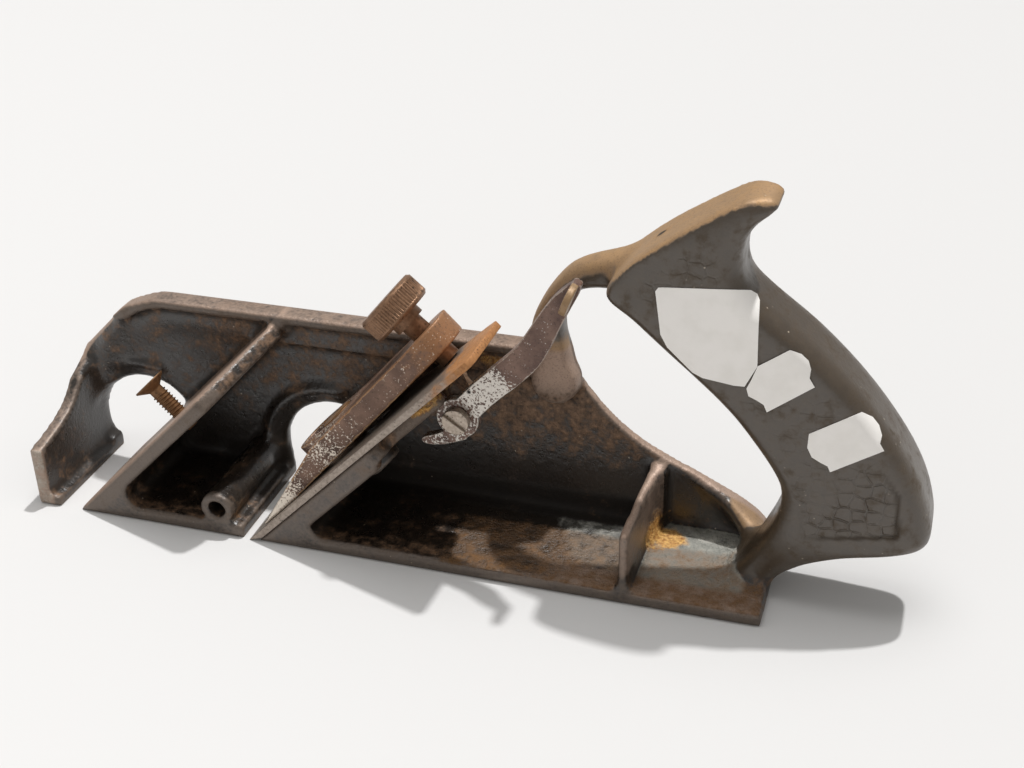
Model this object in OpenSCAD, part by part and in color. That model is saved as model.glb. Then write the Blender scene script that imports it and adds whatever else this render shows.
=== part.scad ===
// Cast-iron duplex rebate plane with a lever-adjusted cutter.
// Millimetres. Z is up, X runs from the nose (minus) to the handle (plus),
// Y runs from the open side (minus) to the walled side (plus).
// The origin is the middle of the sole, on its working face.

/* [Body] */
// length of the sole
sole_length = 216; // [213:1:219]
// width of the sole, which is also the width of the cut
body_width = 38; // [37:0.5:39]
// thickness of the sole plate
sole_thickness = 4; // [3.5:0.1:4.5]
// thickness of the side wall
wall_thickness = 3.5; // [3:0.1:4]
// height of the side wall
wall_height = 57; // [56:0.5:58]
// how far the top rim of the wall stands in, wall included
rim_width = 7.5; // [6.5:0.5:8]
// depth of the top rim
rim_depth = 3; // [2.5:0.5:4]
// thickness of the nose apron
apron_thickness = 4; // [3.5:0.1:4.5]
// radius of the round throats in the wall
throat_radius = 16; // [15.5:0.1:16.5]
// thickness of the two sloping beds
bed_thickness = 4.5; // [4:0.1:5]
// diameter of the tapped hole for a fence arm
fence_hole_diameter = 5.2; // [4.8:0.1:5.6]
// depth of that hole
fence_hole_depth = 20; // [16:1:22]
// thickness of the rear web
web_thickness = 2.8; // [2.4:0.1:3.2]

/* [Handle] */
// thickness of the grip
grip_thickness = 22; // [20:0.5:24]
// rounding of the grip's edges
grip_rounding = 5.5; // [4.5:0.5:6.5]
// width of the arm that joins the wall to the horn
arm_width = 10; // [9:0.5:10.5]

/* [Cutter and cap] */
// thickness of the cutter
cutter_thickness = 2; // [1.8:0.1:2.2]
// length of the cutter
cutter_length = 98; // [96:0.5:100]
// angle of the cutter's bevel
bevel_angle = 27; // [25:1:32]
// half width of the lever cap at its tip
cap_half_width = 17; // [16:0.5:17.5]
// radius of the cap's round upper end
cap_end_radius = 8.6; // [8.2:0.1:9]
// wall thickness of the hollow cap
cap_wall = 2.6; // [2.2:0.1:3]
// diameter of the knurled thumbscrew head
knob_diameter = 18.8; // [17:0.2:20]
// height of that head
knob_height = 7.2; // [6.5:0.1:8]
// number of knurl grooves round the head
knurl_count = 68; // [52:4:72]

/* [Adjusting lever] */
// thickness of the lever plate
lever_thickness = 2.9; // [2.5:0.1:3]
// radius of the lever's hub
hub_radius = 6; // [5.5:0.1:6.4]
// reach of the thumb tab towards the open side
tab_reach = 6; // [5:0.5:8]

/* [Hidden] */
bed_angle = 45;
half = body_width / 2;
heel = sole_length / 2;
nose = -sole_length / 2;
wall_y = half - wall_thickness;
rim_y = half - rim_width;
// toes of the two beds and the ends of the sole in front of them
front_toe = nose + 13.5;
front_mouth = nose + 7.2;
main_toe = heel - 144;
main_mouth = main_toe - 4.8;
throat_z = 11.4;
front_throat = front_toe + 6.5;
main_throat = main_toe + 10.5;
// the same tapped hole is in both beds
cap_screw_u = 38.2;
cap_screw_r = 2.5;
fence_x = main_mouth - 7.7;
fence_z = 8.4;
lug_y = -4;
pivot = [main_toe + 58, 43.2];
pivot_u = (pivot[0] - main_toe + pivot[1]) / sqrt(2);
pivot_n = (pivot[1] - pivot[0] + main_toe) / sqrt(2);
pivot_r = 3;
grip_y = 2;
thumb_u = 78.3;
thumb_tilt = 4.5;
thumb_r = 3.2;
cap_rest = cutter_thickness + 0.05;
spur_x = main_mouth - 9.7;
spur_z = 7.2;
spur_reach = 7.7;
fine = 48;

// small tools

function unit(v) = v / norm(v);
function catmull(a, b, c, d, t) =
    0.5 * (2 * b + (c - a) * t + (2 * a - 5 * b + 4 * c - d) * t * t + (3 * b - a - 3 * c + d) * t * t * t);
// smooth row of values through the rows of a table, with n steps a span
function smooth(p, n) = let (m = len(p) - 1) concat(
    [for (i = [0:m - 1]) for (k = [0:n - 1])
        catmull(p[max(i - 1, 0)], p[i], p[i + 1], p[min(i + 2, m)], k / n)],
    [p[m]]);
function arc(cx, cy, r, a0, a1, n) =
    [for (k = [0:n]) let (a = a0 + (a1 - a0) * k / n) [cx + r * cos(a), cy + r * sin(a)]];
function bezier(a, b, c, d, n) = [for (k = [0:n]) let (t = k / n, s = 1 - t)
    s * s * s * a + 3 * s * s * t * b + 3 * s * t * t * c + t * t * t * d];
// outline of a strip whose rows give x, y and half width
function strip(rows) = let (m = len(rows) - 1,
    dir = [for (i = [0:m]) let (q = rows[min(i + 1, m)] - rows[max(i - 1, 0)]) unit([q[0], q[1]])])
    concat([for (i = [0:m]) [rows[i][0] - dir[i][1] * rows[i][2], rows[i][1] + dir[i][0] * rows[i][2]]],
           [for (j = [0:m]) let (i = m - j) [rows[i][0] + dir[i][1] * rows[i][2], rows[i][1] - dir[i][0] * rows[i][2]]]);

// a flat outline in the X-Z plane, thick from y0 to y1
module side(y0, y1) { translate([0, y1, 0]) rotate([90, 0, 0]) linear_extrude(y1 - y0) children(); }
// the frame of a bed: x runs up the slope, z stands square to it
module on_bed(toe) { translate([toe, 0, 0]) rotate([0, -bed_angle, 0]) children(); }
// a round bar along Y
module rod(x, z, r, y0, y1) { translate([x, y1, z]) rotate([90, 0, 0]) cylinder(h = y1 - y0, r = r, $fn = fine); }

// Sections of a bar that bends in the X-Z plane. Each row holds the edge on the left
// of its run (x, z), the edge on the right (x, z), the middle y, the half width in y
// and the rounding; an eighth number is the rounding of the left edge alone.
function section(s, k) = let (a = [s[0], s[1]], b = [s[2], s[3]], d = unit(b - a), l = norm(b - a) / 2,
    c = (a + b) / 2, most = 0.92 * min(l, s[5]))
    [for (q = [0:3]) for (j = [0:k]) let (w = 90 * q + 90 * j / k,
        sx = (q == 0 || q == 3) ? 1 : -1, sy = (q < 2) ? 1 : -1, r = min(sx > 0 || len(s) < 8 ? s[6] : s[7], most),
        e = sx * (l - r) + r * cos(w), y = sy * (s[5] - r) + r * sin(w))
        [c[0] + d[0] * e, s[4] + y, c[1] + d[1] * e]];
module bar(rows, k, n) {
    s = smooth(rows, n);
    m = 4 * (k + 1);
    pts = [for (r = s) each section(r, k)];
    last = (len(s) - 1) * m;
    polyhedron(pts, concat(
        [[for (i = [0:m - 1]) i]],
        [for (i = [0:len(s) - 2]) for (j = [0:m - 1]) each [
            [i * m + j, (i + 1) * m + j, i * m + (j + 1) % m],
            [i * m + (j + 1) % m, (i + 1) * m + j, (i + 1) * m + (j + 1) % m]]],
        [[for (i = [0:m - 1]) last + m - 1 - i]]));
}

// body casting

// side outline of the wall: sloping nose, level top, hollow slope to the heel
function wall_outline(in) = concat(
    [[nose + in, 0], [nose + in, wall_height - 22.2 - 0.41 * in]],
    arc(nose + 33, wall_height - 22.5, 22.5 - in, 136, 90, 8),
    [[heel - 67, wall_height - in]],
    bezier([heel - 63.5, wall_height - in], [heel - 60, wall_height - 9 - in],
           [heel - 48, wall_height - 25 - in], [heel - 35, 26.5 - in], 8),
    [[heel - 13, 15.5 - in], [heel - 4, 9 - in], [heel - 2, 0]]);
module above_bed(toe) { polygon([[toe - 60, -1], [toe - 1, -1], [toe + 90, 90], [toe - 60, 90]]); }
module throat(x, mouth, r) {
    difference() {
        intersection() { translate([x, throat_z]) circle(r, $fn = fine); above_bed(x > fence_x ? main_toe : front_toe); }
        translate([mouth - 20, -5]) square([20, 5 + sole_thickness + 0.6]);
    }
}
// the mouth runs out through the wall
module mouth_cut(toe, mouth) { polygon([[mouth, -1], [toe - 1, -1], [toe + 6, 6], [mouth, 6]]); }
module wall_sheet() {
    difference() {
        polygon(wall_outline(0));
        throat(front_throat, front_mouth, throat_radius);
        throat(main_throat, main_mouth, throat_radius);
        mouth_cut(front_toe, front_mouth);
        mouth_cut(main_toe, main_mouth);
    }
}
// rim that follows the nose slope and the top
module wall_rim(depth) {
    difference() {
        intersection() { polygon(wall_outline(0)); translate([nose, 24]) square([sole_length - 66, 60]); }
        polygon(wall_outline(depth));
    }
}
// raised lip round a throat, coved down to the opening
module throat_lip(x, toe, mouth) {
    difference() {
        intersection() {
            rod(x, throat_z, throat_radius + 6.6, half - 5.5, half - 1);
            side(0, half) intersection() { above_bed(toe); translate([mouth - 30, 0]) square([80, 60]); }
        }
        translate([x, half - 1.2, throat_z]) rotate([90, 0, 0])
            cylinder(h = 5, r1 = throat_radius, r2 = throat_radius + 5.6, $fn = fine);
        side(0, half + 1) { throat(x, mouth, throat_radius); mouth_cut(toe, mouth); }
        // clear of the lever cap
        on_bed(toe) translate([15, 0, -8]) cube([40, wall_y + 0.3, 20.5]);
    }
}
// wedge-shaped root of a bed, coved into the sole behind it
module bed_root(toe) {
    r = 4.5;
    under = bed_thickness * sqrt(2);
    cx = toe + under + sole_thickness + r * (1 + sqrt(2));
    difference() {
        polygon([[toe, 0], [cx, 0], [cx, sole_thickness - 0.1],
                 [cx - 0.2, sole_thickness + 0.05], [toe + under + 15, 15], [toe + 15, 15]]);
        translate([cx, sole_thickness + r - 0.1]) circle(r, $fn = fine);
        translate([cx, sole_thickness + r - 0.1]) rotate(45) translate([-r * 0.2, -r]) square([40, 2 * r]);
        translate([cx - 1, sole_thickness - 0.1]) square([20, r]);
    }
}
// plate of a bed from a plan in slope and width, with its tapped hole
module bed_plate(toe, plan) {
    intersection() {
        on_bed(toe) translate([0, 0, -bed_thickness]) linear_extrude(bed_thickness) polygon(plan);
        translate([nose, -half, 0]) cube([sole_length, body_width, 90]);
    }
}
module front_bed() {
    bed_plate(front_toe, [[-9, -half], [62, -half], [66, -half + 5], [77.2, rim_y - 0.8], [79, wall_y + 0.5], [-9, wall_y + 0.5]]);
    side(-half, wall_y + 0.5) bed_root(front_toe);
}
module main_bed() {
    bed_plate(main_toe, [[-9, -half], [50, -half], [53, -half + 2], [54, -12], [75, -12], [75, -8.2],
                         [62, -8.2], [62, -2.8], [76, -2.8], [76, wall_y + 0.5], [-9, wall_y + 0.5]]);
    side(-half, wall_y + 0.5) bed_root(main_toe);
    // thickened edge on the open side
    on_bed(main_toe) translate([0, -half, -bed_thickness - 1.6]) linear_extrude(2.6)
        union() { translate([16, 0]) square([31, 5]); translate([47, 2.5]) circle(2.5, $fn = fine); }
}
// outline of the nose plate seen from the front: its top edge falls to the open side
function apron_edge() = concat([[-half, 0], [half, 0]],
    smooth([[half, wall_height - 22.2], [12.6, 31.2], [4.9, 26.4], [-1.2, 23.2], [-8.5, 20.8], [-half, 18.7]], 3));
module nose_apron() {
    // plate across the nose, low at the open side
    translate([nose, 0, 0]) rotate([90, 0, 90]) linear_extrude(apron_thickness)
        polygon(apron_edge());
    // foot in front of the forward mouth
    side(-half, half) difference() {
        polygon([[nose, 0], [front_mouth, 0], [front_mouth, 2.4], [nose + apron_thickness - 0.1, 9], [nose, 9]]);
        translate([front_mouth + 0.9, 8.6]) circle(6.1, $fn = fine);
    }
    // hollow corner between apron and wall
    intersection() {
        difference() {
            translate([nose + apron_thickness - 1, wall_y - 8, 0]) cube([9, 8.5, 34]);
            translate([nose + apron_thickness + 8, wall_y - 8, -1]) cylinder(h = 40, r = 7.9, $fn = fine);
        }
        side(0, half) difference() { polygon(wall_outline(0)); throat(front_throat, front_mouth, throat_radius + 1); }
        translate([nose, 0, 0]) rotate([90, 0, 90]) linear_extrude(14)
            polygon(apron_edge());
    }
}
module sole_plates() {
    translate([front_toe + 6, -half, 0]) cube([main_mouth - front_toe - 6, body_width, sole_thickness]);
    translate([main_toe + 6, -half, 0]) cube([heel - main_toe - 6, body_width, sole_thickness]);
}
module rear_web() {
    x = heel - 38.6;
    // plan that thickens towards the wall
    intersection() {
        linear_extrude(40) polygon([[x, -half], [x + web_thickness, -half], [x + web_thickness + 0.4, 2], [x + web_thickness + 1.6, 10],
                                    [x + web_thickness + 4.2, wall_y + 0.7], [x + 1.4, wall_y + 0.7], [x + 0.4, 2]]);
        translate([x - 2, 0, 0]) rotate([90, 0, 90]) linear_extrude(20)
            polygon([[-half, 0], [wall_y + 1, 0], [wall_y + 1, 23.9], [-half + 1.2, 21.8], [-half, 20.4]]);
    }
}
// the edge of the wall widens into a pad at the root of the grip
module wall_foot() {
    bar([[heel - 27, 22.9, heel - 28, 20.4, half - 1.9, 1.6, 0.8],
         [heel - 19, 19, heel - 20.2, 15.4, half - 2.6, 2.3, 1],
         [heel - 12.5, 15.8, heel - 14, 11, half - 4.4, 4.1, 1.2],
         [heel - 6.5, 12.1, heel - 9.4, 6.6, half - 6.4, 6, 1.5],
         [heel - 3.6, 8.4, heel - 6, 5, half - 6.6, 6.1, 1.5]], 3, 2);
}
// lug under the main bed that carries the adjusting lever
module lever_lug() {
    side(lug_y, 5) union() {
        translate(pivot) circle(5, $fn = fine);
        polygon([[pivot[0] - 4.2, pivot[1] - 2.7], [pivot[0] + 2.7, pivot[1] + 4.2],
                 [main_toe + 76 / sqrt(2) + 2, 76 / sqrt(2) - 2], [main_toe + 60 / sqrt(2) + 2, 60 / sqrt(2) - 2]]);
    }
}
// bent arm from the wall to the horn, with its rounded root on the wall
module arm() {
    y = half - arm_width / 2;
    h = arm_width / 2;
    bar([[heel - 70, wall_height - 9, heel - 58, wall_height - 9, y, h, 2.5],
         [heel - 71.1, wall_height + 1, heel - 60.2, wall_height + 1, y, h, 3],
         [heel - 70.2, wall_height + 9, heel - 61.3, wall_height + 7, y - 0.6, h, 3.2],
         [heel - 67.1, wall_height + 16.3, heel - 60.6, wall_height + 13.5, y - 2, h, 3.2],
         [heel - 63.3, wall_height + 22.6, heel - 58.3, wall_height + 18.8, y - 3.6, h, 3.2],
         [heel - 58, wall_height + 28.8, heel - 54.3, wall_height + 22.6, y - 5.2, h, 3.2],
         [heel - 50.8, wall_height + 32.7, heel - 48.6, wall_height + 24.2, y - 6.6, h, 3.2],
         [heel - 43.8, wall_height + 35.4, heel - 42, wall_height + 25.6, y - 7.4, h, 3.2],
         [heel - 32, wall_height + 42, heel - 30, wall_height + 36, y - 8.4, h, 2.5]], 3, 2);
    rod(heel - 63.9, wall_height - 9.2, 6.8, half - arm_width, wall_y + 1);
}
// grip and horn: sections from the heel, round the grip, to the tip of the horn
module grip() {
    h = grip_thickness / 2;
    r = grip_rounding;
    bar([[heel - 13, 2, heel - 1, 2, grip_y, h - 2, r, r],
         [heel - 8.5, 9, heel + 3.4, 7, grip_y, h - 2, r, r],
         [heel - 3.5, 17, heel + 9.5, 12.2, grip_y, h - 1, r, r],
         [heel - 0.2, 24.5, heel + 20, 17.2, grip_y, h, r, r],
         [heel + 1.1, 30, heel + 32, 20.2, grip_y, h, r, r],
         [heel + 0.8, 35.5, heel + 39.2, 24.2, grip_y, h, r, r],
         [heel - 1.6, 40.6, heel + 38.5, 33, grip_y, h, r, r],
         [heel - 6.5, 47.6, heel + 34.6, 43.2, grip_y, h, r, r],
         [heel - 13.5, 56.2, heel + 27.6, 54.2, grip_y, h, r, r],
         [heel - 21.5, 63.6, heel + 18.4, 65.4, grip_y, h, r, r],
         [heel - 31, 71.6, heel + 7, 76.4, grip_y, h, r, r],
         [heel - 40, 79.4, heel - 5, 85.6, grip_y, h, r, r],
         [heel - 46, 85, heel - 10.8, 91.4, grip_y, h - 0.5, r, 3.2],
         [heel - 41.5, 92.6, heel - 12.4, 97, grip_y, h - 1, r, 1.6],
         [heel - 33, 100, heel - 11.8, 102.6, grip_y, h - 1.2, r, 1.3],
         [heel - 22, 107.6, heel - 9.4, 107, grip_y, h - 2, 4, 1.2],
         [heel - 12.7, 113.1, heel - 6.4, 109.8, grip_y, h - 3.2, 2.2, 1],
         [heel - 6.8, 113.7, heel - 4.1, 111.9, grip_y, h - 5.6, 1, 0.7]], 4, 3);
}
module body_casting() {
    color("#3b352f") difference() {
        union() {
            side(wall_y, half) wall_sheet();
            // rim and the step under it, both running out at the nose
            intersection() {
                union() {
                    side(rim_y, half - 0.5) wall_rim(rim_depth);
                    side(wall_y - 1.6, half - 0.5) wall_rim(rim_depth + 7.2);
                }
                linear_extrude(90) polygon([[nose - 1, wall_y + 0.4], [nose + 15.3, rim_y - 1.3], [heel, rim_y - 1.3],
                                            [heel, half + 1], [nose - 1, half + 1]]);
            }
            wall_foot();
            throat_lip(front_throat, front_toe, front_mouth);
            throat_lip(main_throat, main_toe, main_mouth);
            nose_apron();
            sole_plates();
            front_bed();
            main_bed();
            rod(fence_x, fence_z, 5, -half, wall_y + 1);
            on_bed(main_toe) translate([cap_screw_u, 0, -9]) cylinder(h = 6, r = 5.5, $fn = fine);
            lever_lug();
            rear_web();
            arm();
            grip();
        }
        for (toe = [front_toe, main_toe]) on_bed(toe)
            translate([cap_screw_u, 0, -12]) cylinder(h = 20, r = cap_screw_r, $fn = fine);
        rod(fence_x, fence_z, fence_hole_diameter / 2, -half - 1, -half + fence_hole_depth);
        rod(pivot[0], pivot[1], 2, lug_y - 1, 6);
        // round seat of the spur on the outer face, with its tapped hole
        rod(spur_x, spur_z, spur_reach + 0.5, half - 2.1, half + 1);
        rod(spur_x, spur_z, 2, half - 11, half + 1);
    }
}

// cutter, bevel down, cut away above the throat so that it clears the wall
module cutter() {
    t = cutter_thickness;
    edge = 0.07 - t;
    color("#7b7670") on_bed(main_toe) difference() {
        translate([0, 0, 0.02]) linear_extrude(t) polygon([
            [edge, -half - 0.1], [edge + cutter_length - 2, -half - 0.1], [edge + cutter_length - 0.6, -half + 1.5],
            [edge + cutter_length + 1, 1], [edge + cutter_length, 2.5], [edge + cutter_length - 3, 3.5],
            [29, 13], [26, 14], [24, half + 0.1], [edge, half + 0.1]]);
        // bevel
        translate([edge, half + 1, t + 0.02]) rotate([90, 0, 0]) linear_extrude(body_width + 2)
            polygon([[-0.2, 0], [0, 0], [(t + 1) / tan(bevel_angle), -t - 1], [-0.2, -t - 1]]);
        // slot for the cap screw
        translate([0, 0, -1]) linear_extrude(t + 2) union() {
            translate([30, -4]) square([18, 8]);
            translate([30, 0]) circle(4, $fn = fine);
            translate([48, 0]) circle(4, $fn = fine);
        }
        // adjusting grooves across the back
        for (k = [-3:5]) translate([pivot_u + 3.4 * k - 1.2, -12, -1]) cube([2.4, 15, 2]);
    }
}

// lever cap: side profile on the bed
function cap_top(u) = u < 33 ? cap_rest + 0.4 + (u - 4.5) * 0.263 : cap_rest + 7.9 + (u - 33) * 0.06;
function cap_low(u) = u < 18 ? cap_rest : cap_rest + (u - 18) * 0.058;
module cap_plan(in) {
    tip = 4.5 + in;
    w = cap_half_width - in;
    e = cap_end_radius - in;
    union() {
        polygon([[tip, -w], [11 + in, -w], [24, -w + 2.4], [thumb_u, -e], [thumb_u, e], [24, w - 2.4], [11 + in, w], [tip, w]]);
        translate([thumb_u, 0]) circle(e, $fn = fine);
    }
}
module cap_profile(low, high) {
    translate([0, half, 0]) rotate([90, 0, 0]) linear_extrude(body_width) polygon([
        [4.5, cap_low(4.5) + low], [18, cap_low(18) + low], [100, cap_low(100) + low],
        [100, cap_top(100) + high], [33, cap_top(33) + high], [4.5, cap_top(4.5) + high]]);
}
seat_n = cap_rest + 8.9;
head_h = 2.7;
module lever_cap() {
    color("#6d5a4c") on_bed(main_toe) difference() {
        union() {
            difference() {
                intersection() { cap_profile(0, 0); linear_extrude(40) cap_plan(0); }
                // hollow underside, open towards the cutter
                intersection() {
                    translate([0, 0, -3]) cap_profile(0, 0.2);
                    translate([0, 0, -1]) linear_extrude(40) intersection() {
                        cap_plan(cap_wall);
                        translate([20, -30]) square([80, 60]);
                    }
                }
            }
            // raised seat of the cap screw
            translate([0, 0, cap_low(30) + 0.8]) linear_extrude(seat_n - cap_low(30) - 0.8) union() {
                translate([31, -8.5]) square([11, 17]);
                translate([31, 0]) circle(8.5, $fn = fine);
                translate([42, 0]) circle(8.5, $fn = fine);
            }
            // boss of the thumbscrew
            translate([thumb_u, 0, 0]) intersection() {
                translate([0, 0, cap_low(thumb_u) + 1.4]) cylinder(h = 7.2, r = 6.4, $fn = fine);
                translate([-thumb_u, 0, 0]) cap_profile(0, 0);
            }
        }
        // keyhole: slot with sloping sides, and the hole that lets the head through
        translate([0, 0, -1]) linear_extrude(20) union() {
            translate([30.5, -cap_screw_r - 0.3]) square([cap_screw_u - 30.5, 2 * cap_screw_r + 0.6]);
            translate([cap_screw_u, 0]) circle(cap_screw_r + 0.3, $fn = fine);
            translate([30.5, 0]) circle(5.7, $fn = fine);
        }
        translate([30.5, 0, seat_n - head_h]) rotate([90, 0, 90]) linear_extrude(cap_screw_u - 30.5)
            polygon([[-2.8, -0.05], [2.8, -0.05], [5.8, head_h + 0.05], [5.8, 4], [-5.8, 4], [-5.8, head_h + 0.05]]);
        translate([cap_screw_u, 0, seat_n - head_h]) cylinder(h = head_h + 0.05, r1 = 2.8, r2 = 5.8, $fn = fine);
        translate([thumb_u, 0, cap_top(thumb_u)]) rotate([0, -thumb_tilt, 0])
            translate([0, 0, -20]) cylinder(h = 40, r = thumb_r + 0.05, $fn = fine);
    }
}

module cap_thumbscrew() {
    tip = cap_top(thumb_u) - cap_rest - 0.3;
    color("#6a5546") on_bed(main_toe) translate([thumb_u, 0, cap_top(thumb_u)]) rotate([0, -thumb_tilt, 0])
        union() {
            translate([0, 0, -tip]) cylinder(h = tip + 8, r = thumb_r, $fn = fine);
            translate([0, 0, 4]) cylinder(h = 3, r = 4.6, $fn = fine);
            difference() {
                translate([0, 0, 6.35]) rotate_extrude($fn = fine) polygon([[0, 0], [knob_diameter / 2 - 0.8, 0],
                    [knob_diameter / 2, 0.8], [knob_diameter / 2, knob_height - 0.8],
                    [knob_diameter / 2 - 0.8, knob_height], [0, knob_height]]);
                for (k = [0:knurl_count - 1]) rotate(360 * k / knurl_count)
                    translate([knob_diameter / 2, 0, 6.35 + 1.3]) rotate(45)
                        translate([-0.21, -0.21, 0]) cube([0.42, 0.42, knob_height - 2.6]);
            }
        }
}

// slotted countersunk screw, its head's top at z = 0
module cap_screw(length) {
    difference() {
        union() {
            translate([0, 0, -length]) cylinder(h = length - 1, r = cap_screw_r, $fn = fine);
            translate([0, 0, -head_h]) cylinder(h = head_h - 0.5, r1 = cap_screw_r, r2 = 5.1, $fn = fine);
            translate([0, 0, -0.5]) cylinder(h = 0.5, r = 5.1, $fn = fine);
        }
        translate([-6, -0.6, -1.2]) cube([12, 1.2, 2]);
    }
}
module main_cap_screw() {
    color("#7c6045") on_bed(main_toe) translate([cap_screw_u, 0, seat_n + 0.2]) rotate(60) cap_screw(seat_n + 8.2);
}
module front_cap_screw() {
    color("#8a6a3c") on_bed(front_toe) translate([cap_screw_u, 0, 12.6]) rotate(20) cap_screw(12.6 + bed_thickness + 0.5);
}

// adjusting lever
module adjusting_lever() {
    y1 = lug_y - 0.05;
    y0 = y1 - lever_thickness;
    bar_rows = smooth([[0, 0, 3.9], [7, 8.2, 3.9], [14.6, 15.8, 4], [19.6, 21.2, 3.9], [22.6, 26.2, 3.7],
                       [25.5, 31.9, 3.25], [29, 38, 2.7], [31.8, 41.9, 1.9], [33.5, 44.3, 0.9]], 4);
    color("#8e8a86") difference() {
        union() {
            side(y0, y1) union() {
                translate(pivot) circle(hub_radius, $fn = fine);
                translate(pivot) polygon(strip(bar_rows));
                // hooked tail
                translate(pivot) polygon(strip(smooth(
                    [[2, -4.6, 1.6], [-2, -5.9, 2], [-6, -7.5, 1.7], [-9.4, -8.2, 1.2], [-10.6, -8, 0.5]], 4)));
                // tooth that enters a groove of the cutter
                translate(pivot) rotate(135) translate([3, -0.9]) square([-pivot_n + 0.6 - 3, 1.8]);
            }
            // thumb tab folded towards the open side
            translate([pivot[0] + 30.7, 0, pivot[1] + 36.4]) rotate([0, 21, 0]) translate([-1.7, 0, 0]) rotate([90, 0, 90]) linear_extrude(1.9) union() {
                translate([y0 - tab_reach + 4.2, 0]) square([tab_reach - 4.2 + lever_thickness, 8.4]);
                translate([y0 - tab_reach + 4.2, 4.2]) circle(4.2, $fn = fine);
            }
        }
        rod(pivot[0], pivot[1], pivot_r + 0.05, y0 - 1, y1 + 1);
    }
}
module lever_pivot_screw() {
    y0 = lug_y - 0.1 - lever_thickness;
    color("#9a948c") difference() {
        union() {
            rod(pivot[0], pivot[1], pivot_r, y0 - 0.05, lug_y);
            rod(pivot[0], pivot[1], 2, lug_y - 0.5, 4);
            rod(pivot[0], pivot[1], 3.8, y0 - 2.2, y0);
        }
        translate([pivot[0], y0 - 1.2, pivot[1]]) rotate([0, 35, 0]) translate([-5, -2, -0.5]) cube([10, 2, 1]);
    }
}

// three-lobed spur, turned so that no lobe reaches the sole
module spur() {
    color("#8c8880") side(half - 1.9, half - 0.4) translate([spur_x, spur_z]) difference() {
        union() {
            circle(4.6, $fn = fine);
            for (a = [0, 90, 180]) rotate(a) difference() {
                polygon([[0, -2.6], [spur_reach - 1.2, -2.6], [spur_reach, 0], [spur_reach - 1.2, 2.6], [0, 2.6]]);
            }
        }
        circle(2.05, $fn = fine);
    }
}
module spur_screw() {
    color("#8c8880") difference() {
        union() {
            rod(spur_x, spur_z, 2, half - 10, half - 0.3);
            rod(spur_x, spur_z, 3.6, half - 0.35, half + 1.1);
        }
        translate([spur_x - 5, half + 0.4, spur_z - 0.5]) cube([10, 2, 1]);
    }
}

body_casting();
cutter();
lever_cap();
cap_thumbscrew();
main_cap_screw();
front_cap_screw();
adjusting_lever();
lever_pivot_screw();
spur();
spur_screw();
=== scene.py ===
"""Old cast-iron rebate plane on a pale table: japanned casting with a looped handle,
sloping cutter under a lever cap, knurled thumbscrew and plated adjusting lever."""
import math
from types import SimpleNamespace

import bpy
import numpy as np
from mathutils import Matrix, Vector


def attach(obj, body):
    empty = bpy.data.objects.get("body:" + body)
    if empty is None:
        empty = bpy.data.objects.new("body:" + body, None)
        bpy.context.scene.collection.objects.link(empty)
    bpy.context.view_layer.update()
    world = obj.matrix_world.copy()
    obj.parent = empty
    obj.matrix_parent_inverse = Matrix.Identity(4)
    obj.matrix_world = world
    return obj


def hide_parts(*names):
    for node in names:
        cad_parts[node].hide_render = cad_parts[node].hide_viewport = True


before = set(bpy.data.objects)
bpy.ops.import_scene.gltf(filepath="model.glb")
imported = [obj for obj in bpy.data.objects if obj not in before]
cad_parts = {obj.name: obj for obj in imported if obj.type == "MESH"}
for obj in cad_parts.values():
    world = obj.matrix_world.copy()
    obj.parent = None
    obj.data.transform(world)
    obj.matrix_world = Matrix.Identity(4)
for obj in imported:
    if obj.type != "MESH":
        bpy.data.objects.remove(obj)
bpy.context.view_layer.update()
MM = 0.001

# Places taken from the solids, in millimetres: x along the sole, y across it, z up
MAIN_TOE = -36.0
FRONT_TOE = -94.5
# Cosine and sine of the beds' 45 degrees
SLOPE = math.sqrt(0.5)
# Up the bed from its toe to the cap screw
SCREW_UP = 38.2
# Middles of the two throats, x and z, and the radius of the lips raised round them
THROATS = ((MAIN_TOE + 10.5, 11.4), (FRONT_TOE + 6.5, 11.4))
LIP_RADIUS = 19.0
# Where the bent arm grows out of the wall, x and z
ARM_ROOT = (44.1, 47.8)
# Lever's pivot, and the small hole through the lever, x and z
LEVER_PIVOT = (22.0, 43.2)
LEVER_HOLE = (25.6, 52.1)
# Nick in the top of the horn, x and y
NICK = (74.4, 2.5)
# Just outside the open side of the grip, y
GRIP_SIDE = -9.1


def on_bed(toe, u, y, n):
    """Point u up the slope and n above it, in metres."""
    return Vector((toe + (u - n) * SLOPE, y, (u + n) * SLOPE)) * MM


# Camera at the photograph's viewing angle: degrees, millimetres, and pixels of the picture
AZIMUTH, ELEVATION, ROLL = 17.94, 29.68, -1.34
EYE = (143.21, -332.79, 251.57)
PICTURE_WIDTH = 1024.0
FOCAL_LENGTH = 1505.2
SENSOR = 36.0


def aim_camera():
    """Makes the camera and turns it to the part."""
    azimuth, elevation, roll = (math.radians(angle) for angle in (AZIMUTH, ELEVATION, ROLL))
    level = math.cos(elevation)
    look = Vector((-math.sin(azimuth) * level, math.cos(azimuth) * level, -math.sin(elevation)))
    right = Vector((math.cos(azimuth), math.sin(azimuth), 0.0))
    up = right.cross(look)
    across = math.cos(roll) * right + math.sin(roll) * up
    above = math.cos(roll) * up - math.sin(roll) * right
    data = bpy.data.cameras.new("camera")
    data.sensor_width = SENSOR
    data.lens = FOCAL_LENGTH * SENSOR / PICTURE_WIDTH
    data.clip_start = 0.01
    camera = bpy.data.objects.new("camera", data)
    bpy.context.collection.objects.link(camera)
    turn = Matrix((across, above, -look)).transposed().to_4x4()
    camera.matrix_world = Matrix.Translation(Vector(EYE) * MM) @ turn
    bpy.context.scene.camera = camera


# Colour and node helpers

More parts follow.
